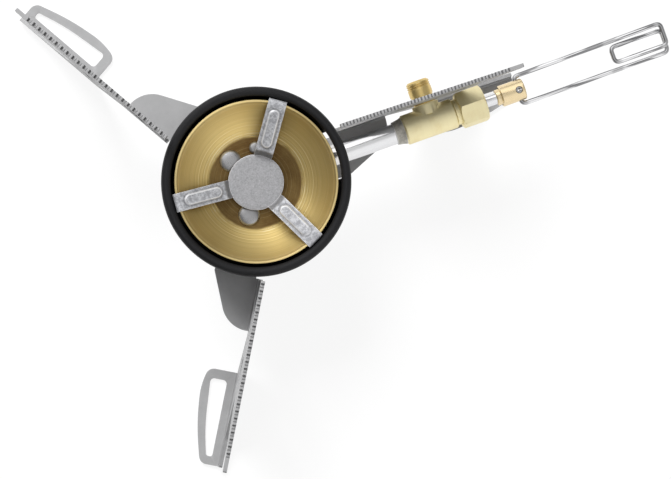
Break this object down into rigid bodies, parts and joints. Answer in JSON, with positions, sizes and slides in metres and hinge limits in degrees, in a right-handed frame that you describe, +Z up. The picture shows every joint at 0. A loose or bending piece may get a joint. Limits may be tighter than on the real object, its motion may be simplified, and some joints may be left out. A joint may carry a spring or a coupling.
{
  "type": "backpacking stove",
  "caption": "Folding liquid-fuel camp stove: brass burner bowl in a black wind cup, bent-sheet legs with serrated pot rests, brass valve on a steel tube and a folding wire handle.",
  "frame": {"origin": "on the ground, on the burner's axis", "axes": "+Z up along the burner's axis, +X along the fuel tube towards the handle"},
  "size_m": [0.205, 0.1729, 0.058],
  "materials": {
    "black_enamel": "satin black heat-proof enamel",
    "burner_brass": "turned, with fine rings, a little browned by heat",
    "valve_brass": "machined, bright",
    "filter_brass": "sintered, matt",
    "leg_steel": "rolled sheet, satin",
    "spreader_steel": "stamped sheet, mottled",
    "rivet_steel": "plain",
    "plate_steel": "plain",
    "ferrule_steel": "brazed, a little tarnished",
    "tube_chrome": "polished stainless",
    "wire_chrome": "polished wire",
    "wick_fibre": "woven glass fibre",
    "packing_rubber": "matt"
  },
  "bodies": {
    "base": {"base_plate": "plate_steel", "pivot_washers": "plate_steel", "spring_washers": "plate_steel", "leg_rivets": "rivet_steel", "pivot_spacers": "plate_steel", "fixed_leg": "leg_steel", "fixed_leg_rivets": "rivet_steel", "fixed_leg_shims": "plate_steel", "wind_cup": "black_enamel", "burner_bowl": "burner_brass", "bowl_screw": "rivet_steel", "bowl_spacer": "plate_steel", "mixing_tube": "valve_brass", "jet_block": "valve_brass", "jet": "valve_brass", "priming_wick": "wick_fibre", "fuel_tube": "tube_chrome", "tube_ferrule": "ferrule_steel", "valve_body": "valve_brass", "fuel_inlet": "valve_brass", "inlet_filter": "filter_brass", "packing": "packing_rubber", "packing_washer": "valve_brass", "packing_nut": "valve_brass"},
    "left_leg": {"left_leg": "leg_steel"},
    "right_leg": {"right_leg": "leg_steel"},
    "spreader": {"flame_spreader": "spreader_steel"},
    "spindle": {"valve_spindle": "tube_chrome", "spindle_collar": "valve_brass", "roll_pin": "rivet_steel"},
    "handle": {"wire_handle": "wire_chrome"}
  },
  "joints": [
    {"name": "left_leg_fold", "type": "hinge", "parent": "base", "child": "left_leg", "pos_m": [-0.00545, 0.00944, 0.0235], "axis": [0, 0, 1], "range_deg": [-100, 0]},
    {"name": "right_leg_fold", "type": "hinge", "parent": "base", "child": "right_leg", "pos_m": [-0.00561, -0.00934, 0.0235], "axis": [0, 0, -1], "range_deg": [-80, 0]},
    {"name": "valve_turn", "type": "hinge", "parent": "base", "child": "spindle", "pos_m": [0.08, 0, 0.0302], "axis": [1, 0, 0], "range_deg": [0, 720]},
    {"name": "handle_fold", "type": "hinge", "parent": "spindle", "child": "handle", "pos_m": [0.094, 0, 0.0302], "axis": [0, -1, 0], "range_deg": [-25, 130]},
    {"name": "spreader_lift", "type": "slide", "parent": "base", "child": "spreader", "axis": [0, 0, 1], "range_m": [0, 0.03]}
  ]
}
